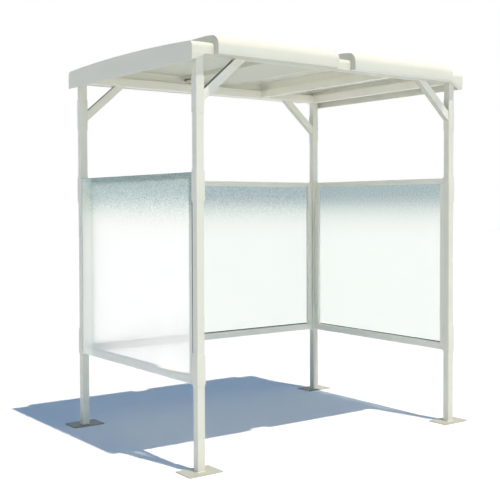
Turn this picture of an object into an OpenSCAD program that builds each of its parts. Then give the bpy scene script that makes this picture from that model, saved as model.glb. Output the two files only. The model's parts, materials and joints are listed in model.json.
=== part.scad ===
// Open-fronted bike shelter: four posts on base plates, a ring of roof beams with knee
// braces, three framed sheet panels and a cambered roof with two raised roof pans.
// Origin at the middle of the plan on the ground, X across the open front, Y to the back.

/* [Shelter] */
// Width over the outer faces of the posts
shelter_w = 2150; // [1600:10:2600]
// Depth over the outer faces of the posts
shelter_d = 1555; // [1200:5:1900]
// Height of the underside of the roof beams
eaves_h = 2402; // [2250:1:2700]

/* [Posts] */
// Side of the square post tube
post_s = 50; // [50:5:60]
// Wall of the post tube
post_wall = 3; // [2:0.5:5]

/* [Base plates] */
// Size of the base plate along the front
plate_w = 225; // [200:5:260]
// Size of the base plate front to back
plate_d = 160; // [150:5:200]
// Thickness of the base plate
plate_t = 6; // [5:1:12]
// Distance between the anchor holes along the front
anchor_x = 165; // [140:5:180]
// Distance between the anchor holes front to back
anchor_y = 100; // [95:5:115]
// Diameter of the anchor holes
anchor_d = 14; // [11:1:18]

/* [Roof beams and rafter] */
// Height of the beams and the rafter
beam_h = 60; // [50:5:65]
// Wall of the beams and the rafter
beam_wall = 2.5; // [2:0.5:4]
// Width of the rafter
rafter_w = 50; // [40:5:80]
// Step of the rafter's underside above the beam undersides
rafter_step = 8; // [0:1:8]
// Width of the packer between the rafter and the roof pan
packer_w = 20; // [12:2:40]
// Thickness of the closing plates over the beams
closer_t = 4; // [3:0.5:6]
// Setback of the closing plates from the beams' inner faces
closer_set = 20; // [8:1:26]

/* [Knee braces] */
// Width of the brace tube as seen from the front
brace_w = 50; // [40:2:56]
// Depth of the brace tube front to back
brace_depth = 40; // [30:5:50]
// Wall of the brace tube
brace_wall = 2.5; // [2:0.5:4]
// Slope of the brace from level, in degrees
brace_slope = 41.3; // [35:0.1:50]
// Depth under the beams at which the brace's lower edge meets the post
brace_reach = 265; // [220:5:300]
// Height of the brace collar round the post
brace_collar_h = 210; // [190:5:260]
// Wall of the brace collar
brace_collar_t = 3; // [2:0.5:8]
// Distance from the brace's lower edge to the collar's lower end
brace_collar_below = 62; // [40:2:90]

/* [Side and back panels] */
// Height of the panels' lower edge above ground
panel_low = 509; // [300:1:700]
// Height of the panels' upper edge above ground
panel_high = 1735; // [1500:1:1900]
// Height of the top rail
top_rail_h = 38; // [30:1:60]
// Height of the bottom rail
bottom_rail_h = 48; // [30:1:60]
// Width of the stiles beside the posts
stile_w = 40; // [25:1:60]
// Depth of the panel frame
frame_depth = 25; // [20:1:30]
// Wall of the panel frame tubes
frame_wall = 2; // [1.5:0.5:3]
// Thickness of the panel sheet
sheet_t = 4; // [3:0.5:6]
// Height of each panel clamp round the post
clamp_h = 196; // [120:2:240]
// Wall of the panel clamps
clamp_t = 5; // [3:1:10]
// Rise of the upper clamps above the panels
clamp_over = 19; // [0:1:40]
// Drop of the lower clamps below the panels
clamp_under = 14; // [0:1:40]

/* [Roof] */
// Thickness of the roof deck, pans and gables
roof_t = 3; // [2:0.5:4]
// Height of the deck's crown above the beam undersides
crown_rise = 95; // [90:1:110]
// Radius of the deck's camber
camber_r = 16400; // [15000:100:20000]
// Distance of the crown behind the middle of the shelter
crown_back = 92.5; // [0:2.5:100]
// Width of the strip of deck between the two wells under the pans
mid_deck_w = 436; // [360:2:600]
// Overhang of the deck beyond the posts at the front and the back
lip_out = 35; // [25:1:45]
// Height of the straight part of the deck's lip
lip_h = 36; // [25:1:40]
// Distance of the gables' outer faces from the posts
gable_out = 50; // [30:5:60]
// Drop of the gables below the beam undersides
gable_drop = 39; // [20:1:60]
// Length of the sloping foot at each end of a gable
gable_foot = 95; // [80:1:110]

/* [Roof pans] */
// Overhang of the pans' noses beyond the posts
pan_out = 80; // [70:1:100]
// Height of the pans' tops above the beam undersides
pan_rise = 121; // [118:1:140]
// Distance of each pan from the gable's outer face
pan_side = 150; // [100:5:200]
// Gap between the two pans
pan_gap = 136; // [100:2:200]
// Depth of the rounded nose
nose_round_y = 62; // [50:1:66]
// Height of the rounded nose
nose_round_z = 92; // [70:1:94]
// Length of the shallow slope behind the nose
nose_run = 58; // [40:2:80]

/* [Hidden] */
half_w = shelter_w / 2;
half_d = shelter_d / 2;
soffit_z = eaves_h + 2;
crown_z = eaves_h + crown_rise;
pan_z = eaves_h + pan_rise;
nose_top_z = soffit_z + 21 + nose_round_z;
gable_x = half_w + gable_out;
pan_w = (2 * gable_x - 2 * pan_side - pan_gap) / 2;
pan_x = (pan_gap + pan_w) / 2;
beam_top_z = eaves_h + beam_h;
closer_x = half_w - post_s + closer_set;
closer_y = half_d - post_s + closer_set;
well_in = mid_deck_w / 2;
well_out = pan_x + pan_w / 2 - roof_t;
lip_y = half_d + lip_out;
lip_top_z = soffit_z + lip_h;
lip_run = 30;
clear_w = shelter_w - 2 * (post_s + clamp_t);
clear_d = shelter_d - 2 * (post_s + clamp_t);
panel_h = panel_high - panel_low;
brace_rise = brace_w / cos(brace_slope);
brace_foot = eaves_h - brace_reach;
arc_steps = 12;
camber_steps = 16;

// Height of the cambered deck's upper face at depth y
function camber(y) = crown_z - camber_r + sqrt(camber_r * camber_r - pow(y - crown_back, 2));

// Quarter ellipse from its outer end up to its top, side -1 for the front and 1 for the back
function nose(side, y, z, ry, rz) = [
  for (i = [0 : arc_steps])
    [y + side * ry * cos(90 * i / arc_steps), z + rz * sin(90 * i / arc_steps)]
];

function reversed(points) = [for (i = [len(points) - 1 : -1 : 0]) points[i]];

// Section of the deck from the front soffit over the camber to the back soffit, set in by t
function deck_line(t) =
  let (
    run = lip_run - t,
    front_rise = camber(-lip_y + lip_run) - lip_top_z - t,
    back_rise = camber(lip_y - lip_run) - lip_top_z - t
  )
  concat(
    [[-half_d, soffit_z + t], [-lip_y + t, soffit_z + t]],
    nose(-1, -lip_y + lip_run, lip_top_z, run, front_rise),
    [
      for (i = [1 : camber_steps - 1])
        let (y = -lip_y + lip_run + 2 * (lip_y - lip_run) * i / camber_steps)
          [y, camber(y) - t]
    ],
    reversed(nose(1, lip_y - lip_run, lip_top_z, run, back_rise)),
    [[lip_y - t, soffit_z + t], [half_d, soffit_z + t]]
  );

// Section of a roof pan, set in by t
function pan_line(t) =
  let (
    y = half_d + pan_out - nose_round_y,
    z = soffit_z + 21
  )
  concat(
    [[-half_d - pan_out + t + 4, soffit_z + t], [-half_d - pan_out + t, soffit_z + t + 8]],
    nose(-1, -y, z, nose_round_y - t, nose_round_z - t),
    [[-y + nose_run, pan_z - t], [y - nose_run, pan_z - t]],
    reversed(nose(1, y, z, nose_round_y - t, nose_round_z - t)),
    [[half_d + pan_out - t, soffit_z + t + 8], [half_d + pan_out - t - 4, soffit_z + t]]
  );

// Turns a front-to-back section up on edge and runs it across the shelter from x
module across(x, length) {
  translate([x, 0, 0])
    rotate([90, 0, 90])
      linear_extrude(length)
        children();
}

// Places a corner piece drawn with its outer corner at the origin
module corner(x_side, y_side) {
  translate([x_side * half_w, y_side * half_d, 0])
    mirror([x_side > 0 ? 1 : 0, 0, 0])
      mirror([0, y_side > 0 ? 1 : 0, 0])
        children();
}

// Straight rectangular tube from the corner at, open along axis 0 for X, 1 for Y, 2 for Z
module tube(at, size, wall, axis) {
  inset = [for (i = [0 : 2]) i == axis ? -1 : wall];
  translate(at)
    difference() {
      cube(size);
      translate(inset)
        cube(size - 2 * inset);
    }
}

module post(x_side, y_side) {
  color("#e4e6da")
    corner(x_side, y_side)
      tube([0, 0, plate_t], [post_s, post_s, eaves_h - plate_t], post_wall, 2);
}

module base_plate(x_side, y_side) {
  color("#dcded2")
    translate([x_side * (half_w - post_s / 2), y_side * (half_d - post_s / 2), 0])
      difference() {
        translate([-plate_w / 2, -plate_d / 2, 0])
          cube([plate_w, plate_d, plate_t]);
        for (sx = [-1, 1], sy = [-1, 1])
          translate([sx * anchor_x / 2, sy * anchor_y / 2, -1])
            cylinder(d = anchor_d, h = plate_t + 2, $fn = 48);
      }
}

// Square collar round a post from height z
module collar(z, height, wall) {
  side = post_s + 2 * wall;
  tube([-wall, -wall, z], [side, side, height], wall, 2);
}

module panel_clamps(x_side, y_side) {
  color("#dfe1d6")
    corner(x_side, y_side) {
      collar(panel_low - clamp_under, clamp_h, clamp_t);
      collar(panel_high + clamp_over - clamp_h, clamp_h, clamp_t);
    }
}

module brace_collar(x_side, y_side) {
  color("#dfe1d6")
    corner(x_side, y_side)
      collar(brace_foot - brace_collar_below, brace_collar_h, brace_collar_t);
}

// Outline of a brace between the collar and the beam, its long edges set in by t
module brace_outline(t, beyond) {
  start = post_s + brace_collar_t - beyond;
  top = eaves_h + beyond;
  edge = t / cos(brace_slope);
  low = brace_foot + edge;
  high = brace_foot + brace_rise - edge;
  polygon([
    [start, low + (start - post_s) * tan(brace_slope)],
    [post_s + (top - low) / tan(brace_slope), top],
    [post_s + (top - high) / tan(brace_slope), top],
    [start, high + (start - post_s) * tan(brace_slope)]
  ]);
}

module brace(x_side, y_side) {
  color("#dadcd2")
    corner(x_side, y_side)
      translate([0, (post_s + brace_depth) / 2, 0])
        rotate([90, 0, 0])
          difference() {
            linear_extrude(brace_depth)
              brace_outline(0, 0);
            translate([0, 0, brace_wall])
              linear_extrude(brace_depth - 2 * brace_wall)
                brace_outline(brace_wall, 1);
          }
}

// Front and back beams run over the posts
module long_beam(y) {
  color("#d6d8cc")
    tube([-half_w, y, eaves_h], [shelter_w, post_s, beam_h], beam_wall, 0);
}

module front_beam() {
  long_beam(-half_d);
}

module back_beam() {
  long_beam(half_d - post_s);
}

// Side beams fit between the front and back beams
module side_beam(x) {
  color("#d6d8cc")
    tube([x, -half_d + post_s, eaves_h],
         [post_s, shelter_d - 2 * post_s, beam_h], beam_wall, 1);
}

module left_beam() {
  side_beam(-half_w);
}

module right_beam() {
  side_beam(half_w - post_s);
}

// One rafter runs under the right roof pan, packed up to the pan's underside
module rafter() {
  end = half_d - post_s;
  z = eaves_h + rafter_step;
  color("#ccd0c4") {
    tube([pan_x - rafter_w / 2, -end, z], [rafter_w, 2 * end, beam_h], beam_wall, 1);
    translate([pan_x - packer_w / 2, -closer_y, z + beam_h])
      cube([packer_w, 2 * closer_y, pan_z - roof_t - z - beam_h]);
  }
}

// Outline of a closing plate over a long beam, stepped under the deck and up into the pans
module long_closer_outline(deck_z) {
  top = pan_z - roof_t;
  polygon([
    [-closer_x, beam_top_z], [closer_x, beam_top_z],
    [closer_x, deck_z], [well_out, deck_z], [well_out, top],
    [well_in, top], [well_in, deck_z], [-well_in, deck_z],
    [-well_in, top], [-well_out, top], [-well_out, deck_z], [-closer_x, deck_z]
  ]);
}

// Plates that close the gap between the beams and the roof on all four sides
module roof_closers() {
  end = closer_y + closer_t;
  front_z = camber(-end) - roof_t;
  back_z = camber(end) - roof_t;
  color("#c6cabe") {
    translate([0, -closer_y, 0])
      rotate([90, 0, 0])
        linear_extrude(closer_t)
          long_closer_outline(front_z);
    translate([0, end, 0])
      rotate([90, 0, 0])
        linear_extrude(closer_t)
          long_closer_outline(back_z);
    for (x = [-closer_x, closer_x - closer_t])
      across(x, closer_t)
        polygon(concat(
          [[end, beam_top_z], [-end, beam_top_z]],
          [
            for (i = [0 : camber_steps])
              let (y = -end + 2 * end * i / camber_steps)
                [y, camber(y) - roof_t - 0.2]
          ]
        ));
  }
}

// The deck is open under the two pans, which cover the wells
module roof_deck() {
  well_d = 2 * (closer_y + closer_t);
  color("#dcded0")
    difference() {
      across(-gable_x + roof_t, 2 * (gable_x - roof_t))
        polygon(concat(deck_line(0), reversed(deck_line(roof_t))));
      for (x = [-well_out, well_in])
        translate([x, -well_d / 2, beam_top_z])
          cube([well_out - well_in, well_d, pan_rise]);
    }
}

// Cover strip that ramps up from the deck between the pans
module joint_cover() {
  foot = half_d - 15;
  full = half_d - 203;
  top = [[-foot, camber(-foot) + roof_t], [-full, pan_z], [full, pan_z], [foot, camber(foot) + roof_t]];
  color("#e6e8da")
    across(-pan_gap / 2, pan_gap)
      polygon(concat(top, reversed([for (p = top) [p[0], p[1] - roof_t]])));
}

// Sloping foot that closes the gable's end below the deck's lip, drawn at the front left
module gable_end() {
  slope = [
    [-gable_x, eaves_h - gable_drop],
    [-gable_x + gable_foot, soffit_z],
    [-gable_x, soffit_z]
  ];
  translate([0, -lip_y + roof_t, 0])
    rotate([90, 0, 0])
      linear_extrude(roof_t)
        polygon(slope);
  translate([0, -half_d, 0])
    rotate([90, 0, 0])
      linear_extrude(lip_out)
        polygon([
          slope[0],
          slope[1],
          slope[1] - [roof_t * gable_foot / (gable_drop + 2), 0],
          slope[0] + [0, roof_t]
        ]);
}

module gable() {
  line = deck_line(0);
  color("#b8bdb8") {
    across(-gable_x, roof_t)
      polygon(concat(
        [[-lip_y, eaves_h - gable_drop]],
        [for (i = [1 : len(line) - 2]) line[i]],
        [[lip_y, eaves_h - gable_drop]]
      ));
    gable_end();
    mirror([0, 1, 0])
      gable_end();
  }
}

module left_gable() {
  gable();
}

module right_gable() {
  mirror([1, 0, 0])
    gable();
}

// Section taken up by the deck, from its upper face down
module deck_body() {
  line = deck_line(0);
  polygon(concat(
    [[-lip_y, soffit_z - 5]],
    [for (i = [1 : len(line) - 2]) line[i]],
    [[lip_y, soffit_z - 5]]
  ));
}

module roof_pan(x) {
  color("#eef0e2") {
    for (side = [x - pan_w / 2, x + pan_w / 2 - roof_t])
      across(side, roof_t)
        difference() {
          polygon(pan_line(0));
          deck_body();
        }
    across(x - pan_w / 2, pan_w)
      difference() {
        polygon(pan_line(0));
        polygon(pan_line(roof_t));
        deck_body();
      }
  }
}

module left_roof_pan() {
  roof_pan(-pan_x);
}

module right_roof_pan() {
  roof_pan(pan_x);
}

// Panel pieces are drawn for a panel of the given length along X, its outer face to -Y
module panel_rail(length, z, height) {
  color("#dadcd0")
    tube([-length / 2, -frame_depth / 2, z], [length, frame_depth, height], frame_wall, 0);
}

module panel_stiles(length) {
  z = panel_low + bottom_rail_h;
  height = panel_h - bottom_rail_h - top_rail_h;
  color("#dadcd0")
    for (x = [-length / 2, length / 2 - stile_w])
      tube([x, -frame_depth / 2, z], [stile_w, frame_depth, height], frame_wall, 2);
}

module panel_sheet(length) {
  color("#f2f8f2")
    translate([-length / 2, -frame_depth / 2 - sheet_t, panel_low])
      cube([length, sheet_t, panel_h]);
}

// Places a panel piece between the posts of the left, right or back side
module at_left() {
  translate([-half_w + post_s / 2, 0, 0])
    rotate(-90)
      children();
}

module at_right() {
  translate([half_w - post_s / 2, 0, 0])
    rotate(90)
      children();
}

module at_back() {
  translate([0, half_d - post_s / 2, 0])
    rotate(180)
      children();
}

module left_panel_top_rail() {
  at_left() panel_rail(clear_d, panel_high - top_rail_h, top_rail_h);
}

module left_panel_bottom_rail() {
  at_left() panel_rail(clear_d, panel_low, bottom_rail_h);
}

module left_panel_stiles() {
  at_left() panel_stiles(clear_d);
}

module left_panel_sheet() {
  at_left() panel_sheet(clear_d);
}

module back_panel_top_rail() {
  at_back() panel_rail(clear_w, panel_high - top_rail_h, top_rail_h);
}

module back_panel_bottom_rail() {
  at_back() panel_rail(clear_w, panel_low, bottom_rail_h);
}

module back_panel_stiles() {
  at_back() panel_stiles(clear_w);
}

module back_panel_sheet() {
  at_back() panel_sheet(clear_w);
}

module right_panel_top_rail() {
  at_right() panel_rail(clear_d, panel_high - top_rail_h, top_rail_h);
}

module right_panel_bottom_rail() {
  at_right() panel_rail(clear_d, panel_low, bottom_rail_h);
}

module right_panel_stiles() {
  at_right() panel_stiles(clear_d);
}

module right_panel_sheet() {
  at_right() panel_sheet(clear_d);
}

post(-1, -1);  // post_front_left
post(1, -1);  // post_front_right
post(-1, 1);  // post_back_left
post(1, 1);  // post_back_right
base_plate(-1, -1);  // base_plate_front_left
base_plate(1, -1);  // base_plate_front_right
base_plate(-1, 1);  // base_plate_back_left
base_plate(1, 1);  // base_plate_back_right
panel_clamps(-1, -1);  // panel_clamps_front_left
panel_clamps(1, -1);  // panel_clamps_front_right
panel_clamps(-1, 1);  // panel_clamps_back_left
panel_clamps(1, 1);  // panel_clamps_back_right
brace_collar(-1, -1);  // brace_collar_front_left
brace_collar(1, -1);  // brace_collar_front_right
brace_collar(-1, 1);  // brace_collar_back_left
brace_collar(1, 1);  // brace_collar_back_right
brace(-1, -1);  // brace_front_left
brace(1, -1);  // brace_front_right
brace(-1, 1);  // brace_back_left
brace(1, 1);  // brace_back_right
front_beam();
back_beam();
left_beam();
right_beam();
rafter();
roof_closers();
roof_deck();
joint_cover();
left_gable();
right_gable();
left_roof_pan();
right_roof_pan();
left_panel_top_rail();
left_panel_bottom_rail();
left_panel_stiles();
left_panel_sheet();
back_panel_top_rail();
back_panel_bottom_rail();
back_panel_stiles();
back_panel_sheet();
right_panel_top_rail();
right_panel_bottom_rail();
right_panel_stiles();
right_panel_sheet();
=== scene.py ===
import json
import math
import bmesh
import bpy
from mathutils import Matrix, Vector


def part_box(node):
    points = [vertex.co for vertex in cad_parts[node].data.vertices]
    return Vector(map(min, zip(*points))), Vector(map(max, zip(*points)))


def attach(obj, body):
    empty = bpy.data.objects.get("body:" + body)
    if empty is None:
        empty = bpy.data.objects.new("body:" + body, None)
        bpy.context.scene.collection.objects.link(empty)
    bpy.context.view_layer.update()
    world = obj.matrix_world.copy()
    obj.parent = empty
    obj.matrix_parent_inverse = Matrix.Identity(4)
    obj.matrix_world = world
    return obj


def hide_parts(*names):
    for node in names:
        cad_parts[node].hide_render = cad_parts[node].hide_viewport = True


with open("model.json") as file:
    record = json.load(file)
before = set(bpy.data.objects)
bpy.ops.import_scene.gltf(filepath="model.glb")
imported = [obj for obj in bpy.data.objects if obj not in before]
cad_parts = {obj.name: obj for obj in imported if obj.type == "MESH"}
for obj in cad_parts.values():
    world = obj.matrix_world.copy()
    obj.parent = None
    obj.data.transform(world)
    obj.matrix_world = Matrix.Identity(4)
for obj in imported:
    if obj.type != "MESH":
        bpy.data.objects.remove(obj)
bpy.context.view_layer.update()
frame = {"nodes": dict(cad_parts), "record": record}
nodes = frame["nodes"]
corners = ["front_left", "front_right", "back_left", "back_right"]
print("shelter frame loaded:", len(nodes), "nodes")


def toLinear(hexText):
    # sRGB hex to the linear values that sockets take
    values = [int(hexText[i:i + 2], 16) / 255 for i in (1, 3, 5)]
    return [v / 12.92 if v <= 0.04045 else ((v + 0.055) / 1.055) ** 2.4 for v in values]


def rgba(hexText):
    return (*toLinear(hexText), 1.0)


def addNode(tree, kind, settings=None, links=None):
    # one node with its settings; a link is (node, output), anything else is a plain value
    node = tree.nodes.new(kind)
    for name, value in (settings or {}).items():
        setattr(node, name, value)
    for socket, source in (links or {}).items():
        if isinstance(source, tuple) and hasattr(source[0], "outputs"):
            tree.links.new(source[0].outputs[source[1]], node.inputs[socket])
        else:
            node.inputs[socket].default_value = source
    return node


def newMaterial(name):
    material = bpy.data.materials.new(name)
    material.use_nodes = True
    material.node_tree.nodes.clear()
    return material, material.node_tree


# sizes in millimetres of the slow drift in the tint and of the orange peel
coatLook = {"cream": "#efeee0", "deep": "#ecebdc", "toneSize": 454.5, "peelSize": 2.5,
            "peelDepth": 0.0004, "peelStrength": 0.05, "roughness": 0.42, "index": 1.5}


def makeCoat(name, look, paintedShade=None):
    # polyester powder coat on steel, sprayed and baked: a satin cream skin with fine orange peel
    material, tree = newMaterial(name)
    place = addNode(tree, "ShaderNodeTexCoord")
    tone = addNode(tree, "ShaderNodeTexNoise", {},
                   {"Vector": (place, "Object"), "Scale": 1000 / look["toneSize"], "Detail": 4.0})
    tint = addNode(tree, "ShaderNodeMix", {"data_type": "RGBA"},
                   {"Factor": (tone, "Fac"), "A": rgba(look["cream"]), "B": rgba(look["deep"])})
    if paintedShade:
        # painted shade: darker at the side or the end that stays in the shade
        split = addNode(tree, "ShaderNodeSeparateXYZ", {}, {"Vector": (place, "Object")})
        edge = addNode(tree, "ShaderNodeMapRange", {},
                       {"Value": (split, paintedShade["axis"]), "From Min": paintedShade["from"],
                        "From Max": paintedShade["to"]})
        tint = addNode(tree, "ShaderNodeMix", {"data_type": "RGBA"},
                       {"Factor": (edge, "Result"), "A": rgba(paintedShade["colour"]), "B": (tint, "Result")})
    peel = addNode(tree, "ShaderNodeTexNoise", {},
                   {"Vector": (place, "Object"), "Scale": 1000 / look["peelSize"], "Detail": 2.0})
    bump = addNode(tree, "ShaderNodeBump", {},
                   {"Height": (peel, "Fac"), "Strength": look["peelStrength"],
                    "Distance": look["peelDepth"]})
    shader = addNode(tree, "ShaderNodeBsdfPrincipled", {},
                     {"Base Color": (tint, "Result"), "Roughness": look["roughness"],
                      "IOR": look["index"], "Normal": (bump, "Normal")})
    addNode(tree, "ShaderNodeOutputMaterial", {}, {"Surface": (shader, "BSDF")})
    return material


frameCoat = makeCoat("powderCoatFrame", coatLook)
roofCoat = makeCoat("powderCoatRoof", dict(coatLook, cream="#f0efe1", deep="#edecdd"))
# beams, braces and panel frames take a brighter copy of the coat: painted light that lifts them in the
# shade under the roof
paintedLightBarsCoat = makeCoat("powderCoatBarsPaintedLight", dict(coatLook, cream="#f7f6e9", deep="#f4f3e6"))
# painted shade: the front beam sits in the lee of the noses and takes a darker copy of the coat
paintedShadeEaveCoat = makeCoat("powderCoatEavePaintedShade", dict(coatLook, cream="#dcdbcd", deep="#d8d7c9"))
# painted shade: the gables take a greyer copy of the coat, for their outer faces in the shade
paintedShadeGableCoat = makeCoat("powderCoatGablesPaintedShade", dict(coatLook, cream="#e9e8da", deep="#e6e5d7"))
# the plates are set a greyer, duller cream than the frame; the back ones carry painted shade, dark all over
# at the back left and dark on the left part at the back right
plateCoat = makeCoat("powderCoatPlates", dict(coatLook, cream="#c3c2b4", deep="#b7b7a9", roughness=0.5))
paintedShadePlateCoat = makeCoat("powderCoatPlatesPaintedShade", dict(coatLook, cream="#c3c2b4", deep="#b7b7a9", roughness=0.55),
                      {"colour": "#717a73", "axis": "X", "from": 1.035, "to": 1.065})
# painted shade: the post at the back right is darker below its panel
paintedShadePostCoat = makeCoat("powderCoatBackPostPaintedShade", coatLook,
                        {"colour": "#dad9cc", "axis": "Z", "from": 0.46, "to": 0.58})
# undersides of the deck, the left pan and the braces, left ends of the pans and well lips take a greyer
# copy of the coat: painted shade
paintedShadePrimer = makeCoat("primerPaintedShade", dict(coatLook, cream="#d8d8c8", deep="#d3d3c3", roughness=0.6))
# painted shade: the inside of the brace channels takes a darker coat
paintedShadeInside = makeCoat("channelInsidePaintedShade", dict(coatLook, cream="#b4b4a6", deep="#acac9e", roughness=0.7))

# the colour list holds heights in metres where the painted shade changes, with its colour there: the
# roof's shade seen through the sheet, painted on it; the specks are in millimetres, coarser than the real
# stipple so that they show; polycarbonate has an index of 1.58, and a lower one matches how little these
# sheets dim what is behind them
sheetFaces = 2
sheetLook = {"clear": 0.4, "gap": 0.0005, "edge": 0.0006, "roughness": 0.65, "index": 1.2,
             "shadow": "#c4cccc", "speckWide": 14, "speckTall": 8, "speckFrom": 0.3, "speckTo": 0.7,
             "speckDark": 0.68, "speckBright": 1.3, "stippleFrom": 1.38, "stippleTo": 1.60,
             "shadeTints": [(0.509, "#f6fbf6"), (1.30, "#f6fbf6"), (1.40, "#f2f7f2"), (1.466, "#eaf0ec"),
                       (1.518, "#dbe3df"), (1.571, "#c3cfd0"), (1.62, "#b2c2c4"), (1.735, "#b0c0c3")]}
# painted light: the left sheet takes a lighter copy of the sheet's colours, a lighter band towards the
# back post, and an emission that makes its rear edge glow though it is no lamp
paintedLightLeftLook = dict(sheetLook, index=1.1, paintedLightFrom=0.58, paintedLightTo=0.70, paintedLightColour="#b0b4b0",
                glow=0.08, glowFrom=0.56, glowTo=0.60,
                shadeTints=[(0.509, "#feffff"), (1.30, "#fefffe"), (1.40, "#fcfefc"), (1.466, "#f6faf7"),
                       (1.518, "#e9f0ec"), (1.571, "#d4e0df"), (1.62, "#c2d1d2"), (1.735, "#c0d0d1")])


def makeFrosted(name, look):
    # frosted polycarbonate, extruded: white below, and above it painted shade, blue-grey and stippled,
    # that stands for the roof's shade seen through the sheet
    material, tree = newMaterial(name)
    place = addNode(tree, "ShaderNodeTexCoord")
    split = addNode(tree, "ShaderNodeSeparateXYZ", {}, {"Vector": (place, "Object")})
    low, high = look["shadeTints"][0][0], look["shadeTints"][-1][0]
    fade = addNode(tree, "ShaderNodeMapRange", {},
                   {"Value": (split, "Z"), "From Min": low, "From Max": high})
    ramp = addNode(tree, "ShaderNodeValToRGB", {}, {"Fac": (fade, "Result")})
    stops = ramp.color_ramp.elements
    for height, hexText in look["shadeTints"][1:-1]:
        stops.new((height - low) / (high - low))
    for stop, (height, hexText) in zip(stops, look["shadeTints"]):
        stop.color = rgba(hexText)
    wide, tall = 1000 / look["speckWide"], 1000 / look["speckTall"]
    stipple = addNode(tree, "ShaderNodeMapping", {"vector_type": "POINT"},
                      {"Vector": (place, "Object"), "Scale": (wide, wide, tall)})
    speck = addNode(tree, "ShaderNodeTexNoise", {},
                    {"Vector": (stipple, "Vector"), "Scale": 1.0, "Detail": 1.0})
    shade = addNode(tree, "ShaderNodeMapRange", {},
                    {"Value": (speck, "Fac"), "From Min": look["speckFrom"], "From Max": look["speckTo"],
                     "To Min": look["speckDark"], "To Max": look["speckBright"]})
    depth = addNode(tree, "ShaderNodeMapRange", {},
                    {"Value": (split, "Z"), "From Min": look["stippleFrom"], "From Max": look["stippleTo"]})
    mixed = addNode(tree, "ShaderNodeMix", {"data_type": "RGBA", "blend_type": "MULTIPLY"},
                    {"Factor": (depth, "Result"), "A": (ramp, "Color"), "B": (shade, "Result")})
    # painted light: a lighter band laid over the tint near the back post
    if "paintedLightFrom" in look:
        paintedLightBand = addNode(tree, "ShaderNodeMapRange", {},
                       {"Value": (split, "Y"), "From Min": look["paintedLightFrom"], "From Max": look["paintedLightTo"]})
        mixed = addNode(tree, "ShaderNodeMix", {"data_type": "RGBA", "blend_type": "SCREEN"},
                        {"Factor": (paintedLightBand, "Result"), "A": (mixed, "Result"),
                         "B": rgba(look["paintedLightColour"])})
    body = addNode(tree, "ShaderNodeBsdfPrincipled", {},
                   {"Base Color": (mixed, "Result"), "Roughness": look["roughness"], "IOR": look["index"],
                    "Transmission Weight": 1.0})
    # part of the light goes straight through each face, so near things show faintly with clean edges
    faceTint = addNode(tree, "ShaderNodeGamma", {}, {"Color": (mixed, "Result"), "Gamma": 1 / sheetFaces})
    straight = addNode(tree, "ShaderNodeBsdfTransparent", {}, {"Color": (faceTint, "Color")})
    body = addNode(tree, "ShaderNodeMixShader", {},
                   {0: look["clear"], 1: (body, "BSDF"), 2: (straight, "BSDF")})
    if "glow" in look:
        # painted light: an emission makes the rear edge glow though it is no lamp
        edge = addNode(tree, "ShaderNodeMapRange", {},
                       {"Value": (split, "Y"), "From Min": look["glowFrom"], "From Max": look["glowTo"],
                        "To Max": look["glow"]})
        glow = addNode(tree, "ShaderNodeEmission", {},
                       {"Color": (mixed, "Result"), "Strength": (edge, "Result")})
        body = addNode(tree, "ShaderNodeAddShader", {}, {0: (body, "Shader"), 1: (glow, "Emission")})
    path = addNode(tree, "ShaderNodeLightPath")
    shadowTint = addNode(tree, "ShaderNodeMix", {"data_type": "RGBA"},
                         {"Factor": (path, "Is Shadow Ray"), "A": (1, 1, 1, 1), "B": rgba(look["shadow"])})
    clear = addNode(tree, "ShaderNodeBsdfTransparent", {}, {"Color": (shadowTint, "Result")})
    # the two faces of one sheet scatter the view; a second sheet behind it adds nothing more
    facesPassed = addNode(tree, "ShaderNodeMath", {"operation": "ADD"},
                          {0: (path, "Transmission Depth"), 1: (path, "Transparent Depth")})
    second = addNode(tree, "ShaderNodeMath", {"operation": "GREATER_THAN"},
                     {0: (facesPassed, "Value"), 1: sheetFaces - 0.5})
    either = addNode(tree, "ShaderNodeMath", {"operation": "MAXIMUM"},
                     {0: (path, "Is Shadow Ray"), 1: (second, "Value")})
    both = addNode(tree, "ShaderNodeMixShader", {},
                   {0: (either, "Value"), 1: (body, "Shader"), 2: (clear, "BSDF")})
    addNode(tree, "ShaderNodeOutputMaterial", {}, {"Surface": (both, "Shader")})
    return material


frostedSheet = makeFrosted("frostedPolycarbonate", sheetLook)
paintedLightFrostedLeft = makeFrosted("frostedPolycarbonateLeftPaintedLight", paintedLightLeftLook)

rubberLook = {"dark": "#2b2e2d", "worn": "#3a3d3c", "grainSize": 1.667, "roughness": 0.75, "index": 1.5}


def makeRubber(name, look):
    # extruded EPDM: near black, matt, with a faint drawn grain
    material, tree = newMaterial(name)
    place = addNode(tree, "ShaderNodeTexCoord")
    grain = addNode(tree, "ShaderNodeTexNoise", {},
                    {"Vector": (place, "Object"), "Scale": 1000 / look["grainSize"], "Detail": 2.0})
    tint = addNode(tree, "ShaderNodeMix", {"data_type": "RGBA"},
                   {"Factor": (grain, "Fac"), "A": rgba(look["dark"]), "B": rgba(look["worn"])})
    shader = addNode(tree, "ShaderNodeBsdfPrincipled", {},
                     {"Base Color": (tint, "Result"), "Roughness": look["roughness"], "IOR": look["index"]})
    addNode(tree, "ShaderNodeOutputMaterial", {}, {"Surface": (shader, "BSDF")})
    return material


rubber = makeRubber("extrudedRubber", rubberLook)
slotCoats = {"frosted_sheet": frostedSheet, "coated_roof": roofCoat, "coated_frame": frameCoat}

for record in frame["record"]["subparts"]:
    node = nodes[record["node"]]
    node.data.materials.clear()
    node.data.materials.append(slotCoats[record["material_slot"]])
print("finishes set")


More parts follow.
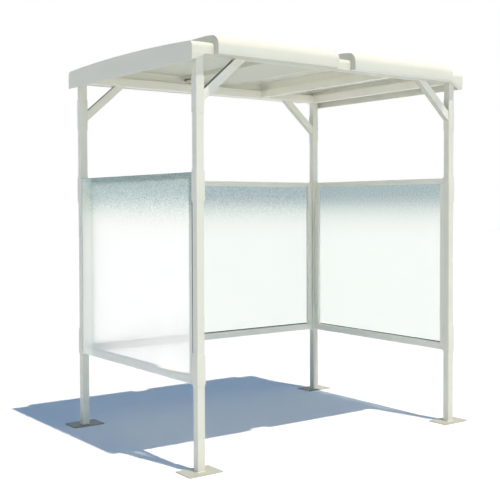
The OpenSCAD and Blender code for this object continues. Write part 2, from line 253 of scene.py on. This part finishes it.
def addBox(shape, low, high, width=0.0, steps=3, along=None):
    # box between two corners, with all its edges rounded or only those along one axis
    size = [b - a for a, b in zip(low, high)]
    middle = [(b + a) / 2 for a, b in zip(low, high)]
    made = bmesh.ops.create_cube(shape, size=1,
                                 matrix=Matrix.Translation(middle) @ Matrix.Diagonal((*size, 1)))
    shape.edges.index_update()
    edges = {edge for vert in made["verts"] for edge in vert.link_edges}
    if along is not None:
        edges = {e for e in edges if abs((e.verts[0].co - e.verts[1].co).normalized()[along]) > 0.9}
    if width:
        bmesh.ops.bevel(shape, geom=sorted(edges, key=lambda e: e.index), offset=width,
                        offset_type="OFFSET", segments=steps, profile=0.5, affect="EDGES", material=-1)


def finishPiece(shape, name, materials, replaced=(), angle=35):
    # turns the faces outwards, shades the mesh and sets it riding on the shelter
    mesh = bpy.data.meshes.new(name)
    bmesh.ops.recalc_face_normals(shape, faces=shape.faces[:])
    for face in shape.faces:
        face.smooth = True
    shape.to_mesh(mesh)
    shape.free()
    mesh.set_sharp_from_angle(angle=math.radians(angle))
    for material in materials:
        mesh.materials.append(material)
    piece = bpy.data.objects.new(name, mesh)
    bpy.context.scene.collection.objects.link(piece)
    flatten = piece.modifiers.new("weightedNormals", "WEIGHTED_NORMAL")
    flatten.keep_sharp = True
    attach(piece, "root")
    if replaced:
        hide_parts(*replaced)


# posts, beams and rails are cold-formed tube with rounded corners; "leftLedge" is how much further out the
# left panel stands
tubeLook = {"postCorner": 0.004, "railCorner": 0.002, "stileWidth": 0.040, "leftLedge": 0.008}


def panelBox(side, part):
    # the two corners of a part of a panel, that of the left one drawn outwards
    low, high = [list(v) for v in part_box(side + "_panel_" + part)]
    if side == "left":
        low[0] -= tubeLook["leftLedge"]
    return low, high


for corner in corners:
    low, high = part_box("post_" + corner)
    shape = bmesh.new()
    addBox(shape, low, high, tubeLook["postCorner"], 3, along=2)
    # the back right post takes painted shade below its panel
    coat = paintedShadePostCoat if corner == "back_right" else frameCoat
    finishPiece(shape, "postTube_" + corner, [coat], ["post_" + corner])
for name, along in (("front_beam", 0), ("back_beam", 0), ("left_beam", 1), ("right_beam", 1)):
    low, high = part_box(name)
    shape = bmesh.new()
    addBox(shape, low, high, tubeLook["postCorner"], 3, along)
    # painted shade on the front beam, painted light on the other beams
    coat = paintedShadeEaveCoat if name == "front_beam" else paintedLightBarsCoat
    finishPiece(shape, name + "_tube", [coat], [name])
for side, along in (("left", 1), ("back", 0), ("right", 1)):
    for part in ("top_rail", "bottom_rail"):
        shape = bmesh.new()
        addBox(shape, *panelBox(side, part), tubeLook["railCorner"], 2)
        # the panel frames take the painted-light copy of the coat
        finishPiece(shape, side + "_" + part + "_tube", [paintedLightBarsCoat],
                    [side + "_panel_" + part])
    low, high = panelBox(side, "stiles")
    shape = bmesh.new()
    near, far = list(high), list(low)
    near[along] = low[along] + tubeLook["stileWidth"]
    far[along] = high[along] - tubeLook["stileWidth"]
    addBox(shape, low, near, tubeLook["railCorner"], 2)
    addBox(shape, far, high, tubeLook["railCorner"], 2)
    finishPiece(shape, side + "_stile_tubes", [paintedLightBarsCoat],
                [side + "_panel_stiles"])
print("tubes done")

# frosted sheets, a hair off their frames on glazing tape
for side, axis, sign in (("left", 0, -1), ("back", 1, 1), ("right", 0, 1)):
    low, high = panelBox(side, "sheet")
    if side == "left":
        high[0] -= tubeLook["leftLedge"]
    if sign > 0:
        low[axis] += sheetLook["gap"]
    else:
        high[axis] -= sheetLook["gap"]
    shape = bmesh.new()
    addBox(shape, low, high, sheetLook["edge"], 1)
    # the left sheet takes the painted-light copy of the frosted material
    finishPiece(shape, side + "_frosted_sheet", [paintedLightFrostedLeft if side == "left" else frostedSheet],
                [side + "_panel_sheet"])

stripLook = {"height": 0.006, "depth": 0.005, "edge": 0.001}

# dark rubber strip along the top of the back and the right bottom rail, where the sheet stands
for side, axis in (("back", 1), ("right", 0)):
    low, high = panelBox(side, "bottom_rail")
    low[2], high[2] = high[2], high[2] + stripLook["height"]
    along = 1 - axis
    low[along] += tubeLook["stileWidth"]
    high[along] -= tubeLook["stileWidth"]
    low[axis] = high[axis] - stripLook["depth"]
    shape = bmesh.new()
    addBox(shape, low, high, stripLook["edge"], 2)
    finishPiece(shape, side + "_rubber_strip", [rubber])

paintedShadeSealLook = {"far": 0.0042, "near": 0.0002, "edge": 0.0006}
clampLook = {"corner": 0.007, "height": 0.196, "taper": 0.022, "proud": 0.0042, "boltRadius": 0.007,
             "boltHeight": 0.004, "collarCorner": 0.006}

# dark rubber seal down the front edge of the left sheet, in the gap to the post and between its two clamps;
# it is painted shade, a dark strip that stands for the shade in that gap
sheetLow, sheetHigh = panelBox("left", "sheet")
clampLow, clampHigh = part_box("panel_clamps_front_left")
shape = bmesh.new()
addBox(shape, (sheetLow[0], sheetLow[1] - paintedShadeSealLook["far"], clampLow[2] + clampLook["height"]),
       (sheetHigh[0], sheetLow[1] - paintedShadeSealLook["near"], clampHigh[2] - clampLook["height"]),
       paintedShadeSealLook["edge"], 2)
finishPiece(shape, "left_edge_seal_painted_shade", [rubber])
print("panels done")

plateLook = {"headRadius": 0.0105, "headHeight": 0.0015, "headSunk": 0.0002, "holeX": 0.0825,
             "holeY": 0.050, "beadRadius": 0.003, "edge": 0.0008}


def addDisc(shape, centre, normal, radius, height, sides=24, rim=0.6):
    # low turned head standing on a face, its rim rounded
    turn = Vector(normal).to_track_quat("Z", "Y").to_matrix().to_4x4()
    lift = Matrix.Translation(Vector(centre) + Vector(normal) * height / 2)
    made = bmesh.ops.create_cone(shape, cap_ends=True, cap_tris=False, segments=sides, radius1=radius,
                                 radius2=radius, depth=height, matrix=lift @ turn)
    shape.edges.index_update()
    top = [v for v in made["verts"] if (v.co - Vector(centre)).dot(Vector(normal)) > height * 0.5]
    edges = {e for v in top for e in v.link_edges if e.other_vert(v) in top}
    bmesh.ops.bevel(shape, geom=sorted(edges, key=lambda e: e.index), offset=height * rim,
                    offset_type="OFFSET", segments=2, profile=0.5, affect="EDGES", material=-1)


def addBead(shape, start, end, radius):
    # weld bead laid between two points
    start, end = Vector(start), Vector(end)
    turn = (end - start).to_track_quat("Z", "Y").to_matrix().to_4x4()
    bmesh.ops.create_cone(shape, cap_ends=True, cap_tris=False, segments=10, radius1=radius,
                          radius2=radius, depth=(end - start).length,
                          matrix=Matrix.Translation((start + end) / 2) @ turn)


for corner in corners:
    low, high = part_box("base_plate_" + corner)
    postLow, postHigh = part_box("post_" + corner)
    shape = bmesh.new()
    addBox(shape, low, high, plateLook["edge"], 2)
    middle = [(a + b) / 2 for a, b in zip(low, high)]
    for x in (-plateLook["holeX"], plateLook["holeX"]):
        for y in (-plateLook["holeY"], plateLook["holeY"]):
            addDisc(shape, (middle[0] + x, middle[1] + y, high[2] - plateLook["headSunk"]), (0, 0, 1),
                    plateLook["headRadius"], plateLook["headHeight"])
    # painted shade on the back plates
    coat = paintedShadePlateCoat if "back" in corner else plateCoat
    finishPiece(shape, "footPlate_" + corner, [coat], ["base_plate_" + corner])
    shape = bmesh.new()
    ring = [(postLow[0], postLow[1]), (postHigh[0], postLow[1]),
            (postHigh[0], postHigh[1]), (postLow[0], postHigh[1])]
    for first, second in zip(ring, ring[1:] + ring[:1]):
        addBead(shape, (*first, high[2]), (*second, high[2]), plateLook["beadRadius"])
    finishPiece(shape, "footWeld_" + corner, [frameCoat])
print("feet done")


def addSleeve(shape, low, high, corner, taper, proud):
    # pressed sleeve round a post, its ends drawn in towards the post
    before = set(shape.verts)
    addBox(shape, (low[0], low[1], low[2] + taper), (high[0], high[1], high[2] - taper),
           corner, 3, along=2)
    middle = Vector([(a + b) / 2 for a, b in zip(low, high)])
    shrink = [1 - 2 * proud / (high[i] - low[i]) for i in (0, 1)]
    for up in (1, -1):
        ends = [f for f in shape.faces if f.normal.z * up > 0.99 and not before.intersection(f.verts)]
        grown = bmesh.ops.extrude_face_region(shape, geom=ends)
        verts = [v for v in grown["geom"] if isinstance(v, bmesh.types.BMVert)]
        bmesh.ops.delete(shape, geom=ends, context="FACES")
        bmesh.ops.translate(shape, vec=(0, 0, up * taper), verts=verts)
        bmesh.ops.scale(shape, vec=(shrink[0], shrink[1], 1), space=Matrix.Translation(-middle),
                        verts=verts)


for corner in corners:
    inward = 1 if "left" in corner else -1
    low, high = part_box("panel_clamps_" + corner)
    shape = bmesh.new()
    for z in (low[2], high[2] - clampLook["height"]):
        addSleeve(shape, (low[0], low[1], z), (high[0], high[1], z + clampLook["height"]),
                  clampLook["corner"], clampLook["taper"], clampLook["proud"])
        face = high[0] if inward > 0 else low[0]
        for step in (0.25, 0.75):
            addDisc(shape, (face, (low[1] + high[1]) / 2, z + clampLook["height"] * step), (inward, 0, 0),
                    clampLook["boltRadius"], clampLook["boltHeight"])
    finishPiece(shape, "panelClamps_" + corner, [frameCoat], ["panel_clamps_" + corner])
    low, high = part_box("brace_collar_" + corner)
    shape = bmesh.new()
    addBox(shape, low, high, clampLook["collarCorner"], 3, along=2)
    finishPiece(shape, "braceCollar_" + corner, [frameCoat], ["brace_collar_" + corner])
print("clamps and collars done")

braceLook = {"slope": 41.3, "width": 0.050, "wall": 0.0025, "eaves": 2.402, "reach": 0.265}

for corner in corners:
    # open channel from the collar up to the beam, its open side above
    inward = 1 if "left" in corner else -1
    postLow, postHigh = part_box("post_" + corner)
    collarLow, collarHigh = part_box("brace_collar_" + corner)
    low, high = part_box("brace_" + corner)
    tilt = math.tan(math.radians(braceLook["slope"]))
    rise = braceLook["width"] / math.cos(math.radians(braceLook["slope"]))
    foot = braceLook["eaves"] - braceLook["reach"]
    postFace = postHigh[0] if inward > 0 else postLow[0]
    start = collarHigh[0] if inward > 0 else collarLow[0]
    out = abs(start - postFace)
    ends = [(start, foot + out * tilt), (postFace + inward * braceLook["reach"] / tilt, braceLook["eaves"]),
            (postFace + inward * (braceLook["reach"] - rise) / tilt, braceLook["eaves"]),
            (start, foot + rise + out * tilt)]
    shape = bmesh.new()
    verts = [shape.verts.new((x, low[1], z)) for x, z in ends]
    side = shape.faces.new(verts)
    grown = bmesh.ops.extrude_face_region(shape, geom=[side])
    bmesh.ops.translate(shape, vec=(0, high[1] - low[1], 0),
                        verts=[v for v in grown["geom"] if isinstance(v, bmesh.types.BMVert)])
    bmesh.ops.recalc_face_normals(shape, faces=shape.faces[:])
    upper = max((f for f in shape.faces if f.normal.z < 0.99), key=lambda f: f.normal.z)
    bmesh.ops.inset_region(shape, faces=[upper], thickness=braceLook["wall"], use_even_offset=True)
    down = upper.normal.copy()
    grown = bmesh.ops.extrude_discrete_faces(shape, faces=[upper])
    bottom = grown["faces"][0]
    bmesh.ops.translate(shape, vec=down * (braceLook["wall"] - braceLook["width"]), verts=bottom.verts[:])
    # painted shade: the inside of the channel takes the darker coat, and its undersides the greyer coat
    bottom.material_index = 1
    for edge in bottom.edges:
        for face in edge.link_faces:
            face.material_index = 1
    for face in shape.faces:
        if face.normal.z < -0.5:
            face.material_index = 2
    finishPiece(shape, "kneeBrace_" + corner, [paintedLightBarsCoat, paintedShadeInside, paintedShadePrimer],
                ["brace_" + corner])
print("braces done")

# the tube is a little shorter than the packer above it, which carries the pan
rafterLook = {"height": 0.060, "packer": 0.020, "inset": 0.020}

low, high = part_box("rafter")
middle = (low[0] + high[0]) / 2
shape = bmesh.new()
addBox(shape, (low[0], low[1] + rafterLook["inset"], low[2]),
       (high[0], high[1] - rafterLook["inset"], low[2] + rafterLook["height"]),
       tubeLook["postCorner"], 3, along=1)
addBox(shape, (middle - rafterLook["packer"] / 2, low[1], low[2] + rafterLook["height"]),
       (middle + rafterLook["packer"] / 2, high[1], high[2]))
finishPiece(shape, "rafter_tube", [frameCoat], ["rafter"])

noseLook = {"deep": 0.062, "cadFoot": 0.021, "cadTall": 0.092, "foot": 0.055, "power": 1.8,
            "roundFrom": 0.93, "slack": 0.001}


def squareNose(shape, look):
    # keeps the front and back edges of a pan flat for longer, then turns them over in a tighter round
    reach = max(v.co.y for v in shape.verts)
    base = min(v.co.z for v in shape.verts)
    tall = look["cadFoot"] + look["cadTall"] - look["foot"]
    power = look["power"]
    for vert in shape.verts:
        out = (abs(vert.co.y) - (reach - look["deep"])) / look["deep"]
        up = max((vert.co.z - base - look["cadFoot"]) / look["cadTall"], 0)
        onRound = math.hypot(out, up) > look["roundFrom"]
        if out > 0 and onRound and vert.co.z > base + look["cadFoot"] - look["slack"]:
            grown = math.hypot(out, up) / (out ** power + up ** power) ** (1 / power)
            vert.co.y = math.copysign(reach - look["deep"] + out * grown * look["deep"], vert.co.y)
            vert.co.z = base + look["foot"] + up * grown * tall


# "merge" is a distance in metres; "flat" and "sharp" are angles in degrees
sheetMetal = {"edge": 0.0008, "thickness": 0.003, "merge": 0.00002, "flat": 0.4, "sharp": 35}


def copySheet(name, look, nose=None):
    # copy of a folded sheet with its flat faces joined and its sharp edges eased
    shape = bmesh.new()
    shape.from_mesh(nodes[name].data)
    bmesh.ops.remove_doubles(shape, verts=shape.verts[:], dist=look["merge"])
    bmesh.ops.dissolve_limit(shape, angle_limit=math.radians(look["flat"]), verts=shape.verts[:],
                             edges=shape.edges[:])
    if nose:
        squareNose(shape, nose)
    angle = math.radians(look["sharp"])
    sharp = [e for e in shape.edges if len(e.link_faces) == 2 and e.calc_face_angle(0) > angle]
    bmesh.ops.bevel(shape, geom=sharp, offset=look["edge"], offset_type="OFFSET", segments=2, profile=0.5,
                    affect="EDGES", clamp_overlap=True, material=-1)
    return shape


for name in ("roof_deck", "joint_cover", "left_gable", "right_gable", "left_roof_pan", "right_roof_pan"):
    shape = copySheet(name, sheetMetal, noseLook if "pan" in name else None)
    # painted shade: undersides of the deck and the left pan and the left ends of both pans take the greyer
    # coat
    for face in shape.faces:
        under = face.normal.z < -0.5 and name in ("left_roof_pan", "roof_deck")
        if under or (face.normal.x < -0.5 and "pan" in name):
            face.material_index = 1
    # painted shade: the gables take their greyer copy of the coat
    coat = paintedShadeGableCoat if "gable" in name else roofCoat
    finishPiece(shape, name + "_sheet", [coat, paintedShadePrimer], [name])

lipLook = {"wellInner": 0.218, "short": 0.004, "edge": 0.0006}

# lips turned up at the inner edge of each well, from the deck to the pan over it
closerLow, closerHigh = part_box("roof_closers")
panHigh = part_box("left_roof_pan")[1][2] - sheetMetal["thickness"]
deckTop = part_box("roof_deck")[1][2]
for side, sign in (("left", -1), ("right", 1)):
    inner, outer = lipLook["wellInner"], lipLook["wellInner"] + sheetMetal["thickness"]
    edges = sorted((sign * inner, sign * outer))
    shape = bmesh.new()
    addBox(shape, (edges[0], closerLow[1] + lipLook["short"], deckTop - sheetMetal["thickness"]),
           (edges[1], closerHigh[1] - lipLook["short"], panHigh), lipLook["edge"], 1)
    # the lips take the greyer copy of the coat: painted shade
    finishPiece(shape, side + "_well_lip", [paintedShadePrimer])
print("roof done")

# "matt" is the floor's colour as light bounces off it, and "sky" the colour of the soft light all round
stageLook = {"floorSize": 40, "matt": 0.84, "behindSheets": 0.9, "sky": (0.096, 0.198, 0.368)}


def addSurround(tree):
    # where floor and surround look white: to the camera, in gloss and through sheets, and not in the
    # light that matt faces throw back
    path = addNode(tree, "ShaderNodeLightPath")
    direct = addNode(tree, "ShaderNodeMath", {"operation": "MAXIMUM"},
                     {0: (path, "Is Camera Ray"), 1: (path, "Is Glossy Ray")})
    seen = addNode(tree, "ShaderNodeMath", {"operation": "MAXIMUM"},
                   {0: (direct, "Value"), 1: (path, "Is Transmission Ray")})
    first = addNode(tree, "ShaderNodeMath", {"operation": "LESS_THAN"},
                    {0: (path, "Diffuse Depth"), 1: 0.5})
    shown = addNode(tree, "ShaderNodeMath", {"operation": "MULTIPLY"},
                    {0: (seen, "Value"), 1: (first, "Value")})
    return path, first, shown


mesh = bpy.data.meshes.new("floor")
shape = bmesh.new()
bmesh.ops.create_grid(shape, x_segments=1, y_segments=1, size=stageLook["floorSize"])
shape.to_mesh(mesh)
shape.free()
floor = bpy.data.objects.new("floor", mesh)
bpy.context.scene.collection.objects.link(floor)
material, tree = newMaterial("paleFloor")
path, first, shown = addSurround(tree)
matt = stageLook["matt"]
tint = addNode(tree, "ShaderNodeMix", {"data_type": "RGBA"},
               {"Factor": (shown, "Value"), "A": (matt, matt, matt, 1), "B": (1, 1, 1, 1)})
ground = addNode(tree, "ShaderNodeBsdfDiffuse", {}, {"Color": (tint, "Result")})
# through a frosted sheet the floor shows nearly white, and the shadow on it hardly shows
glow = addNode(tree, "ShaderNodeEmission", {}, {"Color": (1, 1, 1, 1), "Strength": 1.0})
behind = addNode(tree, "ShaderNodeMath", {"operation": "MULTIPLY"},
                 {0: (path, "Is Transmission Ray"), 1: (first, "Value")})
share = addNode(tree, "ShaderNodeMath", {"operation": "MULTIPLY"},
                {0: (behind, "Value"), 1: stageLook["behindSheets"]})
both = addNode(tree, "ShaderNodeMixShader", {},
               {0: (share, "Value"), 1: (ground, "BSDF"), 2: (glow, "Emission")})
addNode(tree, "ShaderNodeOutputMaterial", {}, {"Surface": (both, "Shader")})
mesh.materials.append(material)

world = bpy.data.worlds.new("studio")
bpy.context.scene.world = world
world.use_nodes = True
tree = world.node_tree
tree.nodes.clear()
path, first, shown = addSurround(tree)
soft = addNode(tree, "ShaderNodeBackground", {}, {"Color": (*stageLook["sky"], 1), "Strength": 1.0})
white = addNode(tree, "ShaderNodeBackground", {}, {"Color": (1, 1, 1, 1), "Strength": 1.0})
sky = addNode(tree, "ShaderNodeMixShader", {},
              {0: (shown, "Value"), 1: (soft, "Background"), 2: (white, "Background")})
addNode(tree, "ShaderNodeOutputWorld", {}, {"Surface": (sky, "Shader")})

# a high warm key light, and broad weak ones that fill the shade under the roof; "spread" is the angle
# each fills
lampLook = {"key": {"towards": (0.06, -0.305, 1.0), "strength": 2.84, "colour": "#fff4e2", "spread": 0.6},
            "fill": {"towards": (0.5, -0.866, 0.70), "strength": 0.14, "colour": "#fff4e2", "spread": 40},
            "lowFront": {"towards": (0.1, -1.0, 0.12), "strength": 0.55, "colour": "#fffee0", "spread": 70},
            "lowLeft": {"towards": (-1.0, -0.1, 0.12), "strength": 0.43, "colour": "#fff1c9", "spread": 70}}
for name, look in lampLook.items():
    lamp = bpy.data.lights.new(name, "SUN")
    lamp.energy = look["strength"]
    lamp.color = toLinear(look["colour"])
    lamp.angle = math.radians(look["spread"])
    light = bpy.data.objects.new(name, lamp)
    light.rotation_euler = Vector(look["towards"]).to_track_quat("Z", "Y").to_euler()
    bpy.context.scene.collection.objects.link(light)

cameraLook = {"place": (-3.90782, -5.25871, 1.53225), "yaw": 37.119, "pitch": -1.569, "roll": -0.136,
              "lens": 66.683, "sensor": 36, "shift": (-0.05, -0.035)}
lensData = bpy.data.cameras.new("camera")
lensData.sensor_width = cameraLook["sensor"]
lensData.lens = cameraLook["lens"]
lensData.shift_x, lensData.shift_y = cameraLook["shift"]
camera = bpy.data.objects.new("camera", lensData)
turn = (Matrix.Rotation(math.radians(-cameraLook["yaw"]), 4, "Z")
        @ Matrix.Rotation(math.radians(90 + cameraLook["pitch"]), 4, "X")
        @ Matrix.Rotation(math.radians(cameraLook["roll"]), 4, "Z"))
camera.matrix_world = Matrix.Translation(cameraLook["place"]) @ turn
bpy.context.scene.collection.objects.link(camera)
bpy.context.scene.camera = camera
bpy.context.scene.view_settings.view_transform = "Standard"
print("stage ready")
